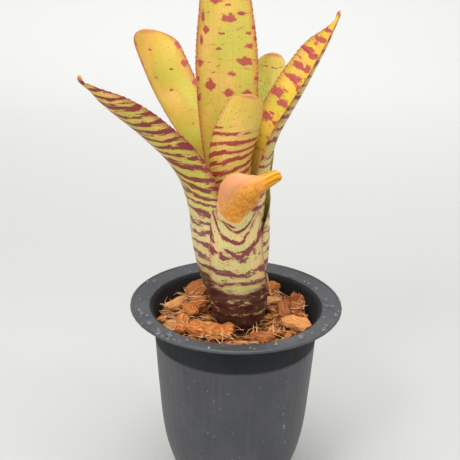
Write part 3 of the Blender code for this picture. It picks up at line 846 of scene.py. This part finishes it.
def finish_strand_and_stem():
    n = Nodes("strand_tan")
    shade = n.noise(n.place(), scale=0.8, detail=3)
    colour = n.mix(n.ramp(shade, 0.3, 0.7), (0.46, 0.19, 0.05), (0.74, 0.42, 0.16))
    n.bump(shade, 0.5, 0.3)
    refinish("husk_strand", n.finish(colour, 0.7))
    n = Nodes("stem_scars")
    rings = n.noise(n.place(), scale=0.7, detail=4)
    colour = n.mix(n.ramp(rings, 0.35, 0.65), (0.06, 0.02, 0.015), (0.24, 0.13, 0.07))
    refinish("stem", n.finish(colour, 0.8))


# ---------------------------------------------------------------- pot and water, mm

OUTSIDE_WALL = [(30, 34.9), (38, 36.4), (63, 38.7), (94, 40.7)]  # (height, radius) below the lip
LIP_START = (43.5, 105.9)  # radius and height where the lip's top begins
LIP_SLOPE = 0.165
LEAST_DROP = 0.4
PAINTED_SHADE_RADII = (43.3, 42.7)  # the radii between which the lip's colour turns to the near-black painted shade of the inner wall

# Drops on the lip: (first and last bearing, nearest and furthest radius, how many, how much the
# largest one's radius is over LEAST_DROP)
LIP_DROPS = [
    (196, 232, 46.0, 51.6, 12, 1.7), (292, 345, 44.8, 51.6, 17, 1.8), (20, 62, 43.8, 46.0, 9, 1.2),
    (345, 380, 44.0, 51.6, 7, 1.1), (150, 196, 44.0, 51.6, 8, 1.2), (232, 292, 45.0, 51.6, 9, 0.9),
    (62, 150, 44.5, 51.6, 12, 0.9)]

# Drops on the wall: (bearing, height, radius)
WALL_DROPS = [
    (-52, 62, 0.8), (-50, 54, 1.1), (-47, 44, 0.9), (-49, 70, 0.6), (-97, 36, 0.7), (-112, 60, 0.45),
    (-80, 48, 0.4), (-66, 33, 0.5), (-125, 52, 0.4)]


def finish_pot():
    n = Nodes("pot_moulded")
    place = n.place()
    x, y, z = n.parts(place)
    bearing = n.math("ARCTAN2", y, x)
    flow = n.noise(n.vector(n.math("MULTIPLY", bearing, 24.0), n.math("MULTIPLY", z, 0.02), 0.0), detail=3)
    clouds = n.noise(place, scale=0.045, detail=4, rough=0.6)
    dust = n.noise(place, scale=0.9, detail=5, rough=0.75)
    far, pick = n.cells(place, scale=0.33)
    flecks = n.math("MULTIPLY", n.ramp(far, 0.20, 0.08), n.ramp(pick, 0.72, 0.80))
    colour = n.mix(n.ramp(clouds, 0.35, 0.68), (0.044, 0.046, 0.052), (0.068, 0.070, 0.077))
    colour = n.mix(n.ramp(clouds, 0.60, 0.74, (0.0, 0.30)), colour, (0.115, 0.080, 0.070))
    colour = n.mix(n.ramp(flow, 0.48, 0.70, (0.0, 0.14)), colour, (0.115, 0.105, 0.105))
    colour = n.mix(n.ramp(dust, 0.60, 0.78, (0.0, 0.28)), colour, (0.16, 0.16, 0.165))
    colour = n.mix(n.math("MULTIPLY", flecks, 0.35), colour, (0.34, 0.33, 0.32))
    # Painted shade: inside the mouth, from 90 mm up, the wall is painted near black for the shade inside the
    # pot, and made rougher.
    away = n.math("SQRT", n.math("ADD", n.math("MULTIPLY", x, x), n.math("MULTIPLY", y, y)))
    inner = n.ramp(away, *PAINTED_SHADE_RADII)
    wall = n.math("MULTIPLY", inner, n.ramp(z, 88.0, 90.0))
    colour = n.mix(n.math("MULTIPLY", wall, 0.95), colour, (0.004, 0.005, 0.007))
    n.bump(n.math("ADD", n.math("MULTIPLY", dust, 0.5), n.math("MULTIPLY", flow, 0.3)), 0.22, 0.25)
    rough = n.math("MULTIPLY_ADD", wall, 0.35, n.ramp(clouds, 0.3, 0.7, (0.42, 0.56)))
    refinish("pot", n.finish(colour, rough, Specular_IOR_Level=0.5))


def bead(bm, place, radius, squash):
    """A drop of water, squash times as tall as it is wide."""
    made = bmesh.ops.create_uvsphere(bm, u_segments=16, v_segments=10, radius=radius * MM)
    for vert in made["verts"]:
        vert.co.z *= squash
        vert.co += place * MM


def make_drops(jitter):
    """Beads of water on the lip, most of them towards its outer edge, and a few on the wall."""
    bm = bmesh.new()
    lip_radius, lip_height = LIP_START
    lying = []
    for first, last, near, far, count, largest in LIP_DROPS:
        for _ in range(count):
            angle, away = math.radians(jitter.uniform(first, last)), jitter.uniform(near, far)
            radius = largest * jitter.uniform(0.3, 1.0) ** 1.2 + LEAST_DROP
            height = lip_height + (away - lip_radius) * LIP_SLOPE + radius * 0.42
            spot = Vector((away * math.cos(angle), away * math.sin(angle), height))
            if all((spot - other).length > radius + wide + 0.2 for other, wide in lying):
                bead(bm, spot, radius, 0.80)
                lying.append((spot, radius))
    heights, radii = zip(*OUTSIDE_WALL)
    for bearing, z, radius in WALL_DROPS:
        wall, angle = float(np.interp(z, heights, radii)), math.radians(bearing)
        bead(bm, Vector((wall * math.cos(angle), wall * math.sin(angle), z)), radius, 1.1)
    # The drops are water, with a milky white share from a near-white base colour and transmission short of
    # full: a painted highlight that makes them read lighter than the pot.
    n = Nodes("water")
    water = n.finish((0.80, 0.84, 0.88, 1.0), 0.03, Transmission_Weight=0.91, IOR=1.45,
                     Specular_IOR_Level=1.0)
    add_object("water_drops", mesh_of("water_drops", bm), water)


# ---------------------------------------------------------------- studio and camera, metres

SWEEP_FRONT = -1.6
SWEEP_HALF_WIDTH = 2.2
SWEEP_TOP = 2.4
BEND_START = 0.9
BEND_RADIUS = 0.6
BEND_STEPS = 14
WORLD_STRENGTH = 0.62
LIGHT_TARGET = (0.0, 0.0, 0.13)

# (name, place, size, watts)
LIGHTS = [
    ("overhead", (-0.1, -0.12, 1.2), (0.95, 0.95), 11.5),
    ("window_left", (-1.1, -0.9, 0.9), (0.9, 0.9), 3.0),
    ("front_fill", (0.0, -1.5, 0.4), (1.4, 0.7), 2.2),
    ("lamp_left", (-0.45, -0.75, 0.95), (0.22, 0.22), 3.0),
    ("lamp_right", (0.75, -0.45, 0.85), (0.22, 0.22), 1.8)]
CAMERA_PLACE = (-0.00365, -0.36168, 0.28057)
CAMERA_LENS = 62.61
CAMERA_DOWN = 20.52  # degrees below level
CAMERA_ROLL = 1.078  # degrees


def make_stage():
    """A pale sweep: floor, a wide bend, and a wall."""
    bend = [(BEND_START + BEND_RADIUS * math.sin(a), BEND_RADIUS - BEND_RADIUS * math.cos(a))
            for a in np.linspace(0.1, math.pi / 2, BEND_STEPS)]
    profile = [(SWEEP_FRONT, 0.0), (BEND_START, 0.0), *bend, (BEND_START + BEND_RADIUS, SWEEP_TOP)]
    bm = bmesh.new()
    rows = [[bm.verts.new((x, y, z)) for x in (-SWEEP_HALF_WIDTH, SWEEP_HALF_WIDTH)] for y, z in profile]
    for low, high in zip(rows, rows[1:]):
        bm.faces.new((low[0], low[1], high[1], high[0]))
    mesh = mesh_of("sweep", bm)
    n = Nodes("sweep_paper_painted_light")
    x, y, _ = n.parts(n.place())
    # Painted light: the paper runs from grey near the front to near white far back, and a little lighter to
    # the right, for how the studio light falls on it.
    away = n.ramp(n.math("ADD", y, n.math("MULTIPLY", x, 0.15)), 150.0, 1200.0)
    mesh.materials.append(n.finish(n.mix(away, (0.53, 0.53, 0.515), (0.90, 0.90, 0.885)), 0.85))
    sweep = bpy.data.objects.new("sweep", mesh)
    bpy.context.scene.collection.objects.link(sweep)


def area_light(name, place, size, power):
    light = bpy.data.lights.new(name, "AREA")
    light.shape = "RECTANGLE"
    light.size, light.size_y = size
    light.energy = power
    made = bpy.data.objects.new(name, light)
    made.location = place
    made.rotation_euler = (Vector(LIGHT_TARGET) - Vector(place)).to_track_quat("-Z", "Y").to_euler()
    bpy.context.scene.collection.objects.link(made)


def make_light():
    """An even pale world, one wide lamp overhead and four smaller ones in front."""
    world = bpy.data.worlds.new("studio")
    bpy.context.scene.world = world
    world.use_nodes = True
    background = world.node_tree.nodes["Background"]
    background.inputs["Color"].default_value = (1.0, 1.0, 1.0, 1.0)
    background.inputs["Strength"].default_value = WORLD_STRENGTH
    for settings in LIGHTS:
        area_light(*settings)
    bpy.context.scene.view_settings.view_transform = "Standard"


def make_camera():
    """Above the pot and in front of it, looking down at it."""
    lens = bpy.data.cameras.new("camera")
    lens.sensor_width = 36.0
    lens.lens = CAMERA_LENS
    camera = bpy.data.objects.new("camera", lens)
    camera.location = CAMERA_PLACE
    pitch, roll = math.radians(90.0 - CAMERA_DOWN), math.radians(CAMERA_ROLL)
    camera.rotation_euler = (Matrix.Rotation(pitch, 4, "X") @ Matrix.Rotation(roll, 4, "Z")).to_euler()
    bpy.context.scene.collection.objects.link(camera)
    bpy.context.scene.camera = camera


def main():
    jitter = random.Random(SEED)
    make_camera()
    for number, (name, shape) in enumerate(LEAVES.items()):
        make_leaf(number, name, shape)
    make_bed()
    make_chips(jitter)
    make_fibres(jitter)
    finish_strand_and_stem()
    finish_pot()
    make_drops(jitter)
    make_stage()
    make_light()


main()
